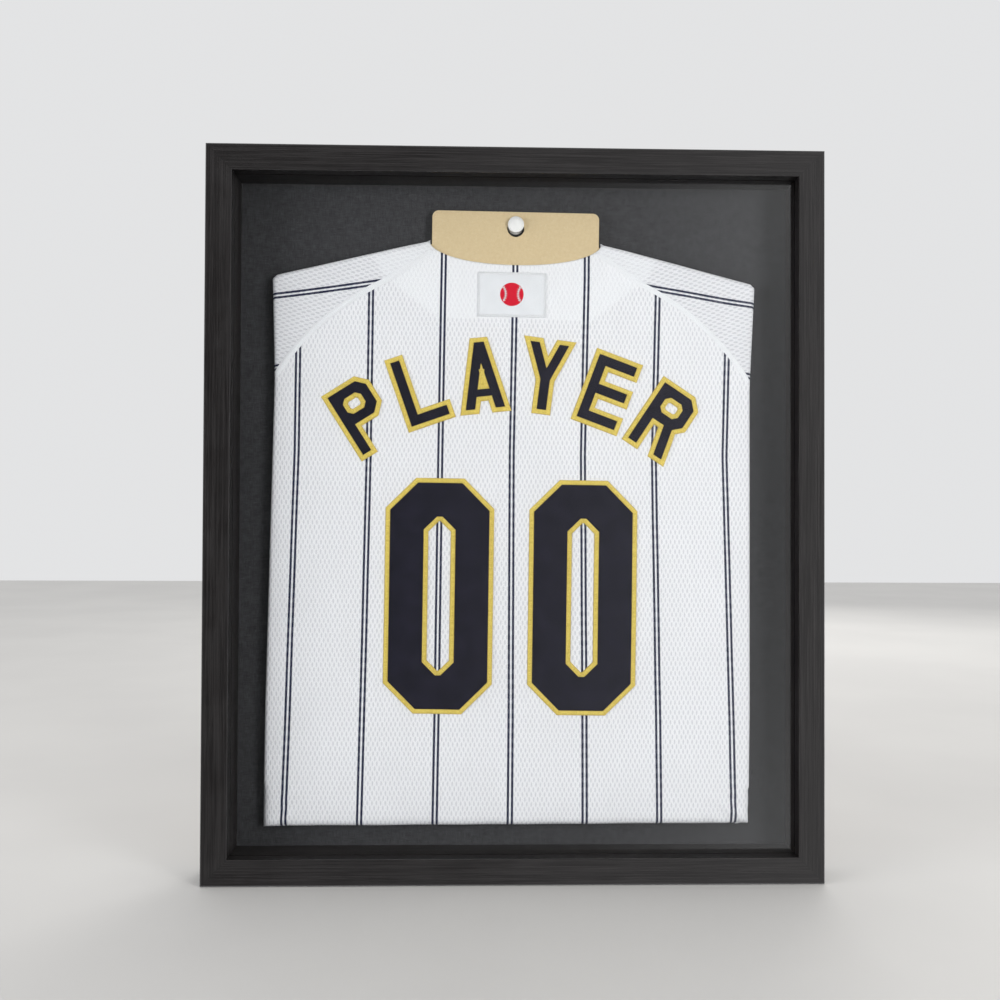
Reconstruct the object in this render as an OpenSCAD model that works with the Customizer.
// Jersey display frame: a deep box frame with a folded jersey hung on a peg.
// Units are millimetres. X runs to the right, Y from the glazing to the wall, Z up.
// The origin is the middle of the base that the frame stands on.

/* [Frame] */
// Overall width of the frame
frame_w = 565; // [470:5:690]
// Overall height of the frame
frame_h = 670; // [555:5:820]
// Width of the moulding seen from the front
face_w = 24; // [20:1:36]
// Width of the lip that holds the glazing
lip_w = 10; // [7:0.5:13]
// Thickness of the lip, front to back
lip_t = 12; // [6:0.5:16]
// Radius of the eased outer front edge
outer_edge_r = 1.6; // [0.5:0.1:4]
// Radius of the eased sight edge
sight_edge_r = 0.8; // [0.3:0.1:2]

/* [Glazing and boards] */
// Thickness of the clear acrylic sheet
acrylic_t = 2; // [1.5:0.5:4]
// Depth of the spacers between the glazing and the display board
spacer_depth = 26; // [24:1:60]
// Thickness of the display board
display_t = 3; // [2:0.5:6]
// Thickness of the corrugated filler board
filler_t = 4.5; // [3:0.5:8]
// Thickness of the hardboard back
back_t = 2.5; // [2:0.5:5]
// Gap between the boards and the rabbet wall
board_gap = 0.5; // [0.2:0.1:1.5]

/* [Peg] */
// Distance from the top of the frame to the peg's axis
peg_drop = 63; // [55:1:90]
// Diameter of the peg's head
peg_head_d = 15; // [12:0.5:18]
// Thickness of the peg's head
peg_head_t = 5; // [3:0.5:6]
// Diameter of the peg's shank
peg_shank_d = 9.6; // [6:0.2:10]
// Diameter of the peg's flange on the display board
peg_flange_d = 14; // [12:1:30]
// Diameter of the screw that holds the peg
peg_screw_d = 4; // [3:0.5:5]

/* [Garment] */
// Thickness of the garment board
garment_board_t = 3; // [2:0.5:5]
// How much wider the hanging hole is than the peg's head
hole_play = 1; // [0.6:0.1:3]
// Width of the neck tab of the garment board
tab_w = 157; // [130:1:180]
// Height of the neck tab above the peg's axis
tab_rise = 12.5; // [11:0.5:20]
// Corner radius of the neck tab
tab_r = 6; // [2:0.5:10]
// Thickness of the cloth in front of the garment board
cloth_front_t = 4.6; // [3:0.1:6]
// Thickness of the cloth folded behind the garment board
cloth_rear_t = 4.5; // [3:0.1:6]
// Cloth that wraps the edge of the garment board
wrap_t = 3; // [2:0.5:5]
// Gap from the side of the garment to the sight edge
side_gap = 32; // [25:1:60]
// Gap from the hem to the bottom sight edge
hem_gap = 21; // [16:1:60]
// How much lower the hem is on the left than on the right
hem_slant = 6; // [0:0.5:8]
// Gap between the folded cloth and the display board
garment_gap = 0.6; // [0.3:0.1:2]
// Lean of the hung garment, clockwise from the front
hang_lean = 0.6; // [0:0.1:1.5]
// Width between the two neck points
neck_w = 162; // [150:1:185]
// Drop of the neck points below the peg's axis
neck_drop = 16.5; // [15:0.5:22]
// Drop of the lowest point of the collar below the peg's axis
collar_drop = 38; // [28:1:45]
// Drop of the shoulder corners below the peg's axis
shoulder_drop = 51.5; // [45:0.5:60]
// How far the sides pull in below the sleeves
waist_in = 3.5; // [0:0.5:8]

/* [Name and number] */
// Height of the letters without their border
letter_h = 64; // [50:1:75]
// Width of the letters without their border
letter_w = 39; // [30:1:42]
// Width of the strokes of the letters
letter_stroke = 10.5; // [8:0.5:12]
// Width of the border round the letters and the digits
border_w = 3.6; // [2:0.2:4]
// Radius of the arch through the middle of the letters
arch_r = 258; // [240:1:400]
// Angle from one letter to the next
arch_step = 13.2; // [12.8:0.1:15]
// Drop of the middle of the arch below the peg's axis
arch_drop = 141; // [120:1:150]
// Drop of the top of the digits below the peg's axis
number_drop = 243; // [235:1:260]
// Gap from the digits to the hem
number_hem_gap = 107; // [60:1:120]
// Width of one digit without its border
digit_w = 94; // [70:1:100]
// Width of the strokes of the digits
digit_stroke = 33; // [20:1:36]
// Gap between the two digits
digit_gap = 40; // [15:1:50]
// Thickness of one layer of twill
twill_t = 0.7; // [0.4:0.1:1.2]
// Width of the emblem patch
patch_w = 64; // [40:1:80]
// Height of the emblem patch
patch_h = 42; // [30:1:50]
// Diameter of the ball on the emblem patch
ball_d = 22; // [14:1:28]
// Drop of the middle of the patch below the peg's axis
patch_drop = 66.5; // [64:0.5:75]
// Sideways place of the middle of the patch
patch_x = -3; // [-10:0.5:10]

/* [Back fittings] */
// Distance from the frame's corners to the turn buttons
button_corner = 150; // [90:5:200]
// Length of a turn button from its pivot to its tip
button_reach = 23; // [18:1:30]
// Width of a turn button
button_w = 10; // [7:0.5:12]
// Thickness of a turn button
button_t = 1.2; // [0.8:0.1:2]
// Clear space under a turn button
button_lift = 0.3; // [0.2:0.1:0.6]
// Diameter of the turn buttons' screws
button_screw_d = 3; // [2.5:0.1:3.5]
// Distance from the top of the frame to the hanger rings' axis
hanger_drop = 195; // [190:5:230]
// Width of a hanger plate
plate_w = 8; // [7:0.5:9]
// Thickness of a hanger plate
plate_t = 1; // [0.8:0.1:1.5]
// Diameter of the wire of the hanger rings
ring_wire_d = 2; // [1.6:0.1:2.4]
// Distance from the corner to the wall bumpers
bumper_corner = 34; // [20:1:60]
// Diameter of the wall bumpers
bumper_d = 10; // [8:0.5:12]
// Thickness of the wall bumpers
bumper_t = 3; // [2:0.5:5]

/* [Hidden] */
$fn = 48;
// A little more than nothing, so that a cut passes right through
cut = 1;

// Depths, counted from the middle of the rails
depth = lip_t + acrylic_t + spacer_depth + display_t + filler_t + back_t;
front_y = -depth / 2;
rear_y = depth / 2;
acrylic_y = front_y + lip_t;
spacer_y = acrylic_y + acrylic_t;
display_y = spacer_y + spacer_depth;
filler_y = display_y + display_t;
back_y = filler_y + filler_t;
// Rabbet and boards
wall_t = face_w - lip_w;
board_w = frame_w - 2 * (wall_t + board_gap);
board_h = frame_h - 2 * (wall_t + board_gap);
spacer_t = lip_w - board_gap;
sight_w = frame_w - 2 * face_w;
// Peg
peg_z = frame_h - peg_drop;
peg_flange_t = 1.2;
peg_head_clear = 1;
peg_dome_r = 12;
screw_head_t = 1.8;
peg_washer_d = 3 * peg_screw_d;
peg_washer_t = 1;
peg_bore_l = 8;
// Garment, front to back
panel_rear_y = display_y - garment_gap;
board_rear_y = panel_rear_y - cloth_rear_t;
board_front_y = board_rear_y - garment_board_t;
cloth_y = board_front_y - cloth_front_t;
hole_d = peg_head_d + hole_play;
hang_gap = 0.1;
hole_drop = (hole_d - peg_shank_d) / 2 - hang_gap;
// Garment outline, counted from the peg's axis
half_w = sight_w / 2 - side_gap;
hem_drop = peg_z - face_w - hem_gap;
corner_r = 4;
armhole_drop = 149;
seam_top = [70, -21.5];
seam_bend = [117, -53.6];
seam_pull = [-37, 59.5];
facing_drop = 90;
facing_half_w = 72;
facing_t = 1;
facing_side = [[neck_w / 2, 0], [135, -28], [124, -50], [facing_half_w, -facing_drop]];
panel_inner = 32;
panel_top_drop = 62;
ball_seam_w = 1.2;
ball_seam_out = 0.76;
// Letters and digits
digit_h = hem_drop - number_hem_gap - number_drop;
letter_cut = 8;
digit_cut = 26;
// Back fittings
screw_fit = 0.06;
screw_head_gap = 0.1;
button_screw_l = 12;
button_screw_head_d = 6.4;
button_screw_head_t = 1.6;
slot_w = 0.9;
slot_depth = 0.7;
ring_leg = 5;
ring_half_w = plate_w / 2 + ring_wire_d / 2 + 0.5;
knuckle_fit = 0.05;
knuckle_wall = 0.95;
ring_rest_gap = 0.3;
ring_y = rear_y + plate_t + ring_wire_d / 2 + ring_rest_gap;
ring_z = frame_h - hanger_drop;
plate_l = 20;
plate_screw_drops = [5.2, 16];
hanger_screw_d = 2.4;
hanger_screw_l = 10;
hanger_screw_head_d = 5;
hanger_screw_head_t = 1.2;
nail_arm = 5;
nail_t = 0.9;
nail_l = 10;
nail_in = 7.5;
bumper_taper = 0.8;

// Where each turn button's pivot is, and which way its tip points at rest
button_x = frame_w / 2 - button_corner;
button_places = [
    [-button_x, frame_h - wall_t / 2, 180], [button_x, frame_h - wall_t / 2, 180],
    [frame_w / 2 - wall_t / 2, frame_h - button_corner, -90],
    [frame_w / 2 - wall_t / 2, button_corner, -90],
    [button_x, wall_t / 2, 0], [-button_x, wall_t / 2, 0],
    [-frame_w / 2 + wall_t / 2, button_corner, 90],
    [-frame_w / 2 + wall_t / 2, frame_h - button_corner, 90]];

function flip(points) = [for (i = [len(points) - 1 : -1 : 0]) [-points[i][0], points[i][1]]];
function curve(a, pull, b, steps = 10) =
    [for (i = [0 : steps]) let (t = i / steps)
        (1 - t) * (1 - t) * a + 2 * t * (1 - t) * pull + t * t * b];

// Places a shape drawn along +Z so that it points out of the back
module on_back(x, y, z) {
    translate([x, y, z]) rotate([-90, 0, 0]) children();
}

// Raises a shape drawn in the XZ plane to a slab from y to y + t
module slab(y, t) {
    translate([0, y + t, 0]) rotate([90, 0, 0]) linear_extrude(t) children();
}

// Hangs a shape drawn round the peg's axis on the peg
module hung() {
    translate([0, 0, peg_z]) rotate([0, hang_lean, 0]) children();
}

module pan_screw(d, l, head_d, head_t) {
    difference() {
        union() {
            translate([0, 0, -l]) cylinder(d = d, h = l);
            cylinder(d = head_d, h = head_t);
        }
        for (a = [0, 90]) rotate(a)
            translate([0, 0, head_t]) cube([head_d * 0.6, slot_w, 2 * slot_depth], center = true);
    }
}

// --- Rails ---

module rail_profile() {
    difference() {
        translate([front_y, 0]) square([depth, face_w]);
        translate([acrylic_y, wall_t]) square([depth, lip_w + cut]);
        translate([front_y, 0]) edge_cut(outer_edge_r);
        translate([front_y, face_w]) mirror([0, 1]) edge_cut(sight_edge_r);
    }
}

module edge_cut(r) {
    difference() {
        translate([-cut, -cut]) square(r + cut);
        translate([r, r]) circle(r);
    }
}

module mitred_rail(length) {
    intersection() {
        translate([-length / 2, 0, 0]) rotate([90, 0, 90]) linear_extrude(length) rail_profile();
        slab(front_y - cut, depth + 2 * cut)
            polygon([[-length / 2, 0], [length / 2, 0],
                [length / 2 - face_w, face_w], [-length / 2 + face_w, face_w]]);
    }
}

module v_nail() {
    slab(rear_y - nail_l, nail_l) {
        translate([nail_in, nail_in]) square([nail_arm, nail_t]);
        translate([nail_in, nail_in]) square([nail_t, nail_arm]);
    }
}

module all_v_nails() {
    for (side = [0, 1], end = [0, 1])
        mirror([side, 0, 0]) translate([-frame_w / 2, 0, end * frame_h]) mirror([0, 0, end]) v_nail();
}

module all_button_screws() {
    for (place = button_places)
        on_back(place[0], rear_y + button_lift + button_t + screw_head_gap, place[1])
            pan_screw(button_screw_d, button_screw_l, button_screw_head_d, button_screw_head_t);
}

module all_hanger_screws() {
    for (side = [-1, 1], drop = plate_screw_drops)
        on_back(side * (frame_w / 2 - wall_t / 2), rear_y + plate_t, ring_z - drop)
            pan_screw(hanger_screw_d, hanger_screw_l, hanger_screw_head_d, hanger_screw_head_t);
}

module fastener_holes() {
    all_v_nails();
    all_button_screws();
    all_hanger_screws();
}

module bottom_rail() {
    color([0.13, 0.12, 0.12]) difference() {
        mitred_rail(frame_w);
        fastener_holes();
    }
}

module top_rail() {
    color([0.13, 0.12, 0.12]) difference() {
        translate([0, 0, frame_h]) mirror([0, 0, 1]) mitred_rail(frame_w);
        fastener_holes();
    }
}

module side_rail() {
    translate([-frame_w / 2, 0, frame_h / 2]) rotate([0, 90, 0]) mitred_rail(frame_h);
}

module left_rail() {
    color([0.13, 0.12, 0.12]) difference() {
        side_rail();
        fastener_holes();
    }
}

module right_rail() {
    color([0.13, 0.12, 0.12]) difference() {
        mirror([1, 0, 0]) side_rail();
        fastener_holes();
    }
}

module corner_v_nails() {
    color([0.6, 0.6, 0.62]) all_v_nails();
}

// --- Glazing, spacers and boards ---

module board_outline() {
    translate([-board_w / 2, wall_t + board_gap]) square([board_w, board_h]);
}

module acrylic_sheet() {
    color([0.85, 0.9, 0.92, 0.2]) slab(acrylic_y, acrylic_t) board_outline();
}

module level_spacer() {
    slab(spacer_y, spacer_depth)
        translate([-board_w / 2, wall_t + board_gap]) square([board_w, spacer_t]);
}

module upright_spacer() {
    slab(spacer_y, spacer_depth)
        translate([-board_w / 2, wall_t + board_gap + spacer_t])
            square([spacer_t, board_h - 2 * spacer_t]);
}

module top_spacer() {
    color([0.1, 0.09, 0.09]) translate([0, 0, frame_h]) mirror([0, 0, 1]) level_spacer();
}

module bottom_spacer() {
    color([0.1, 0.09, 0.09]) level_spacer();
}

module left_spacer() {
    color([0.1, 0.09, 0.09]) upright_spacer();
}

module right_spacer() {
    color([0.1, 0.09, 0.09]) mirror([1, 0, 0]) upright_spacer();
}

module display_board() {
    color([0.22, 0.22, 0.23]) difference() {
        slab(display_y, display_t) board_outline();
        on_back(0, display_y - cut, peg_z) cylinder(d = peg_screw_d, h = display_t + 2 * cut);
    }
}

module filler_board() {
    color([0.7, 0.58, 0.42]) difference() {
        slab(filler_y, filler_t) board_outline();
        on_back(0, filler_y - cut, peg_z)
            cylinder(d = peg_washer_d + 2 * board_gap, h = filler_t + 2 * cut);
    }
}

module back_board() {
    color([0.55, 0.4, 0.26]) slab(back_y, back_t) board_outline();
}

// --- Peg ---

module hanging_peg() {
    shank_l = display_y - board_front_y + peg_head_clear;
    color([0.95, 0.95, 0.94]) translate([0, display_y, peg_z]) rotate([90, 0, 0]) difference() {
        union() {
            cylinder(d = peg_flange_d, h = peg_flange_t);
            cylinder(d = peg_shank_d, h = shank_l + cut);
            translate([0, 0, shank_l]) intersection() {
                cylinder(d = peg_head_d, h = peg_head_t);
                translate([0, 0, peg_head_t - peg_dome_r]) sphere(r = peg_dome_r);
            }
        }
        translate([0, 0, -cut]) cylinder(d = peg_screw_d, h = peg_bore_l + cut);
    }
}

module peg_screw() {
    color([0.7, 0.7, 0.72]) on_back(0, filler_y + peg_washer_t, peg_z)
        pan_screw(peg_screw_d, display_t + peg_washer_t + peg_bore_l, 2 * peg_screw_d, screw_head_t);
}

module peg_washer() {
    color([0.7, 0.7, 0.72]) on_back(0, filler_y, peg_z) difference() {
        cylinder(d = peg_washer_d, h = peg_washer_t);
        translate([0, 0, -cut]) cylinder(d = peg_screw_d, h = peg_washer_t + 2 * cut);
    }
}

// --- Garment ---

// The right half of the garment's edge, from the neck point to the hem, drawn in by edge
function garment_side(edge, hem_turn) = [
    [neck_w / 2 - edge, -neck_drop - edge],
    [half_w - corner_r - edge, -shoulder_drop - edge],
    [half_w - edge, -shoulder_drop - corner_r - edge],
    [half_w - waist_in - edge, -armhole_drop],
    [half_w - edge, -hem_drop + number_hem_gap],
    [half_w - edge, -hem_drop + hem_turn + edge]];

module garment_outline(edge = 0) {
    polygon(concat(garment_side(edge, hem_slant / 2), flip(garment_side(edge, -hem_slant / 2))));
}

// The scooped neckline, a half ellipse between the neck points
module collar_opening() {
    polygon([for (a = [180 : 7.5 : 360])
        [neck_w / 2 * cos(a), -neck_drop + (collar_drop - neck_drop) * sin(a)]]);
}

module tab_outline() {
    difference() {
        translate([-tab_w / 2, -shoulder_drop - wrap_t])
            square([tab_w, shoulder_drop + wrap_t + tab_rise]);
        for (side = [0, 1]) mirror([side, 0]) translate([tab_w / 2 - tab_r, tab_rise - tab_r])
            difference() {
                square(tab_r + cut);
                circle(tab_r);
            }
    }
}

module garment_board_shape() {
    slab(board_front_y, garment_board_t) garment_outline(wrap_t);
    slab(board_front_y, garment_board_t) tab_outline();
}

module garment_board() {
    color([0.82, 0.7, 0.5]) hung() difference() {
        garment_board_shape();
        translate([0, board_front_y - cut, -hole_drop]) rotate([-90, 0, 0])
            cylinder(d = hole_d, h = garment_board_t + 2 * cut);
    }
}

// The part of the garment outside the right raglan seam
module sleeve_area() {
    polygon(concat([[half_w + cut, 0], [seam_top[0], 0], seam_top],
        curve(seam_bend, [half_w, -armhole_drop] + seam_pull, [half_w - waist_in, -armhole_drop]),
        [[half_w + cut, -armhole_drop]]));
}

module facing_area() {
    intersection() {
        garment_outline(wrap_t);
        difference() {
            polygon(concat(facing_side, flip(facing_side)));
            collar_opening();
        }
    }
}

module cloth_shell() {
    difference() {
        slab(cloth_y, cloth_front_t + garment_board_t) difference() {
            garment_outline();
            collar_opening();
        }
        garment_board_shape();
    }
}

module jersey_back_panel() {
    color([0.93, 0.93, 0.94]) hung() difference() {
        cloth_shell();
        for (side = [0, 1]) mirror([side, 0, 0])
            slab(cloth_y - cut, depth) sleeve_area();
        slab(board_front_y - facing_t, facing_t) facing_area();
    }
}

module sleeve(left) {
    difference() {
        intersection() {
            cloth_shell();
            slab(cloth_y - cut, depth) mirror([left ? 1 : 0, 0]) sleeve_area();
        }
        slab(board_front_y - facing_t, facing_t) facing_area();
    }
}

module right_sleeve() {
    color([0.88, 0.88, 0.9]) hung() sleeve(false);
}

module left_sleeve() {
    color([0.88, 0.88, 0.9]) hung() sleeve(true);
}

module collar_facing() {
    color([0.97, 0.97, 0.98]) hung() slab(board_front_y - facing_t, facing_t) facing_area();
}

// One half of the jersey's front, folded flat behind the garment board
module folded_panel(left) {
    slab(board_rear_y, cloth_rear_t) intersection() {
        garment_outline();
        mirror([left ? 1 : 0, 0]) translate([panel_inner, -hem_drop - hem_slant])
            square([half_w, hem_drop + hem_slant - panel_top_drop]);
    }
}

module left_front_panel() {
    color([0.93, 0.93, 0.94]) hung() folded_panel(true);
}

module right_front_panel() {
    color([0.93, 0.93, 0.94]) hung() folded_panel(false);
}

module emblem_patch() {
    color([0.97, 0.97, 0.97]) hung() slab(cloth_y - twill_t, twill_t)
        translate([patch_x - patch_w / 2, -patch_drop - patch_h / 2]) square([patch_w, patch_h]);
}

// A ball with its two curved seams as grooves
module emblem_ball() {
    color([0.85, 0.1, 0.14]) hung() translate([patch_x, cloth_y - twill_t, -patch_drop])
        rotate([90, 0, 0]) difference() {
            cylinder(d = ball_d, h = twill_t);
            for (side = [-1, 1]) translate([side * ball_d * ball_seam_out, 0, twill_t / 2])
                linear_extrude(twill_t) difference() {
                    circle(d = ball_d + ball_seam_w);
                    circle(d = ball_d - ball_seam_w);
                }
        }
}

// --- Letters and digits, drawn in a box from (0, 0) to (w, h) ---

module block(x, y, w, h, corner) {
    polygon([[x + corner, y], [x + w - corner, y], [x + w, y + corner], [x + w, y + h - corner],
        [x + w - corner, y + h], [x + corner, y + h], [x, y + h - corner], [x, y + corner]]);
}

module ring_shape(x, y, w, h, stroke, corner) {
    inner = corner * 0.45;
    difference() {
        block(x, y, w, h, corner);
        block(x + stroke, y + stroke, w - 2 * stroke, h - 2 * stroke, inner);
    }
}

module bowl(w, h, stroke) {
    bowl_h = h * 0.56;
    ring_shape(0, h - bowl_h, w, bowl_h, stroke, letter_cut);
    square([stroke, h]);
}

module letter_p(w, h, stroke) {
    bowl(w, h, stroke);
}

module letter_l(w, h, stroke) {
    square([stroke, h]);
    square([w, stroke]);
}

module letter_a(w, h, stroke) {
    lean = (w - stroke) / 2;
    polygon([[0, 0], [stroke, 0], [lean + stroke, h], [lean, h]]);
    polygon([[w, 0], [w - stroke, 0], [lean, h], [lean + stroke, h]]);
    translate([stroke * 0.6, h * 0.18]) square([w - stroke * 1.2, stroke * 0.8]);
}

module letter_y(w, h, stroke) {
    lean = (w - stroke) / 2;
    fork = h * 0.45;
    translate([lean, 0]) square([stroke, fork + stroke / 2]);
    polygon([[lean, fork], [lean + stroke, fork], [stroke, h], [0, h]]);
    polygon([[lean, fork], [lean + stroke, fork], [w, h], [w - stroke, h]]);
}

module letter_e(w, h, stroke) {
    square([stroke, h]);
    for (y = [0, (h - stroke) / 2, h - stroke]) translate([0, y]) square([w, stroke]);
}

module letter_r(w, h, stroke) {
    bowl(w, h, stroke);
    polygon([[w - stroke, 0], [w, 0], [w * 0.8, h / 2], [w * 0.8 - stroke, h / 2]]);
}

module letter(i) {
    translate([-letter_w / 2, -letter_h / 2]) {
        if (i == 0) letter_p(letter_w, letter_h, letter_stroke);
        if (i == 1) letter_l(letter_w, letter_h, letter_stroke);
        if (i == 2) letter_a(letter_w, letter_h, letter_stroke);
        if (i == 3) letter_y(letter_w, letter_h, letter_stroke);
        if (i == 4) letter_e(letter_w, letter_h, letter_stroke);
        if (i == 5) letter_r(letter_w, letter_h, letter_stroke);
    }
}

module on_arch(i) {
    translate([0, -arch_drop - arch_r]) rotate((2.5 - i) * arch_step)
        translate([0, arch_r]) children();
}

module digit() {
    ring_shape(-digit_w / 2, 0, digit_w, digit_h, digit_stroke, digit_cut);
}

module each_digit() {
    for (side = [-1, 1])
        translate([side * (digit_w + digit_gap) / 2, -number_drop - digit_h]) children();
}

module name_borders() {
    color([0.78, 0.62, 0.16]) hung() for (i = [0 : 5])
        slab(cloth_y - twill_t, twill_t) on_arch(i) offset(delta = border_w) letter(i);
}

module name_letters() {
    color([0.09, 0.09, 0.15]) hung() for (i = [0 : 5])
        slab(cloth_y - 2 * twill_t, twill_t) on_arch(i) letter(i);
}

module number_borders() {
    color([0.78, 0.62, 0.16]) hung()
        slab(cloth_y - twill_t, twill_t) each_digit() offset(delta = border_w) digit();
}

module number_digits() {
    color([0.09, 0.09, 0.15]) hung()
        slab(cloth_y - 2 * twill_t, twill_t) each_digit() digit();
}

// --- Back fittings ---

module turn_button(i) {
    place = button_places[i - 1];
    color([0.72, 0.72, 0.74]) translate([place[0], rear_y + button_lift, place[1]])
        rotate([0, place[2], 0]) difference() {
            slab(0, button_t) union() {
                circle(d = button_w);
                translate([-button_w / 2, 0]) square([button_w, button_reach - button_w / 2]);
                translate([0, button_reach - button_w / 2]) circle(d = button_w);
            }
            translate([0, -cut, 0]) rotate([-90, 0, 0])
                cylinder(d = button_screw_d + 2 * screw_fit, h = button_t + 2 * cut);
        }
}

module turn_button_screws() {
    color([0.8, 0.8, 0.82]) all_button_screws();
}

module hanger_plate() {
    knuckle_r = ring_wire_d / 2 + knuckle_fit + knuckle_wall;
    difference() {
        union() {
            slab(rear_y, plate_t) {
                translate([-plate_w / 2, -plate_l + plate_w / 2]) square([plate_w, plate_l - plate_w / 2]);
                translate([0, -plate_l + plate_w / 2]) circle(d = plate_w);
            }
            translate([-plate_w / 2, ring_y, 0]) rotate([0, 90, 0]) cylinder(r = knuckle_r, h = plate_w);
        }
        translate([-plate_w / 2 - cut, ring_y, 0]) rotate([0, 90, 0])
            cylinder(d = ring_wire_d + 2 * knuckle_fit, h = plate_w + 2 * cut);
        for (drop = plate_screw_drops) on_back(0, rear_y - cut, -drop)
            cylinder(d = hanger_screw_d, h = plate_t + 2 * cut);
    }
}

module hanger_ring() {
    wire_r = ring_wire_d / 2;
    translate([-ring_half_w, 0, 0]) rotate([0, 90, 0]) cylinder(r = wire_r, h = 2 * ring_half_w);
    for (side = [-1, 1]) translate([side * ring_half_w, 0, 0]) {
        sphere(r = wire_r);
        translate([0, 0, -ring_leg]) cylinder(r = wire_r, h = ring_leg);
    }
    translate([0, 0, -ring_leg]) rotate([-90, 0, 0])
        rotate_extrude(angle = 180) translate([ring_half_w, 0]) circle(wire_r);
}

module left_hanger_plate() {
    color([0.75, 0.75, 0.77]) translate([-frame_w / 2 + wall_t / 2, 0, ring_z]) hanger_plate();
}

module right_hanger_plate() {
    color([0.75, 0.75, 0.77]) translate([frame_w / 2 - wall_t / 2, 0, ring_z]) hanger_plate();
}

module left_hanger_ring() {
    color([0.8, 0.8, 0.82]) translate([-frame_w / 2 + wall_t / 2, ring_y, ring_z]) hanger_ring();
}

module right_hanger_ring() {
    color([0.8, 0.8, 0.82]) translate([frame_w / 2 - wall_t / 2, ring_y, ring_z]) hanger_ring();
}

module hanger_screws() {
    color([0.8, 0.8, 0.82]) all_hanger_screws();
}

module wall_bumpers() {
    color([0.2, 0.2, 0.2]) for (side = [-1, 1])
        on_back(side * (frame_w / 2 - bumper_corner), rear_y, wall_t / 2)
            cylinder(d1 = bumper_d, d2 = bumper_d - 2 * bumper_taper, h = bumper_t);
}

top_rail();
bottom_rail();
left_rail();
right_rail();
corner_v_nails();
acrylic_sheet();
top_spacer();
bottom_spacer();
left_spacer();
right_spacer();
display_board();
filler_board();
back_board();
hanging_peg();
peg_screw();
peg_washer();
garment_board();
jersey_back_panel();
left_sleeve();
right_sleeve();
collar_facing();
left_front_panel();
right_front_panel();
emblem_patch();
emblem_ball();
name_borders();
name_letters();
number_borders();
number_digits();
turn_button(1);  // turn_button_1
turn_button(2);  // turn_button_2
turn_button(3);  // turn_button_3
turn_button(4);  // turn_button_4
turn_button(5);  // turn_button_5
turn_button(6);  // turn_button_6
turn_button(7);  // turn_button_7
turn_button(8);  // turn_button_8
turn_button_screws();
left_hanger_plate();
right_hanger_plate();
left_hanger_ring();
right_hanger_ring();
hanger_screws();
wall_bumpers();
